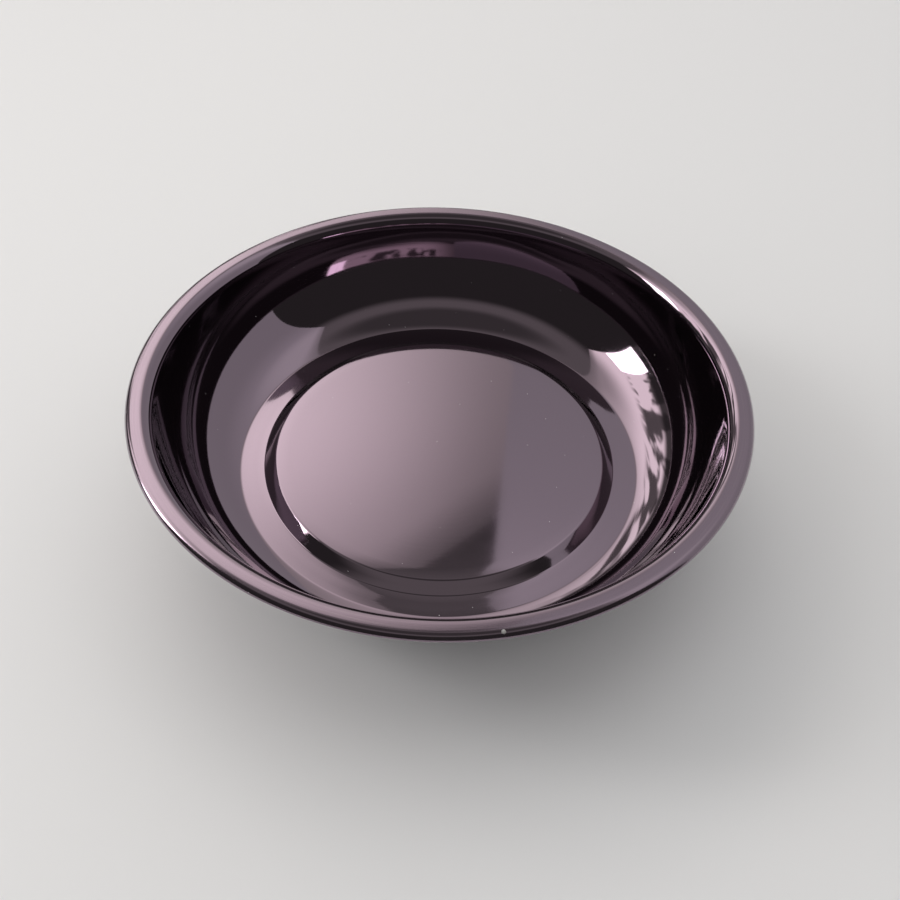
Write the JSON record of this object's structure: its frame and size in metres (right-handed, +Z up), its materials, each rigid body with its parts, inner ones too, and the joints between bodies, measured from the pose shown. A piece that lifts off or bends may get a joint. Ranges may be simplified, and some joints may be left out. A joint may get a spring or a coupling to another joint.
{
  "type": "magnetic salon bowl",
  "caption": "Shallow round mirror-finished metal bowl with an out-turned rim and a raised centre, on a magnetic non-slip rubber base.",
  "frame": {"origin": "centre of the rubber foot's flat underside, which is the bottom centre of the bounding box", "axes": "+Z up along the bowl's axis of revolution, out of the open mouth; +X and +Y lie in the table plane and are interchangeable"},
  "size_m": [0.15, 0.15, 0.038],
  "materials": {
    "bowl_metal": "mirror-polished stainless steel with a dark plum vapour coating",
    "foam_tape": "double-sided closed-cell foam tape",
    "ferrite": "ground sintered ferrite, matte dark grey",
    "zinc_steel": "zinc-plated pressed steel",
    "base_rubber": "moulded matte black rubber"
  },
  "bodies": {
    "root": {"bowl_shell": "bowl_metal", "adhesive_pad": "foam_tape", "ring_magnet": "ferrite", "backing_plate": "zinc_steel", "rubber_base": "base_rubber"}
  },
  "joints": []
}
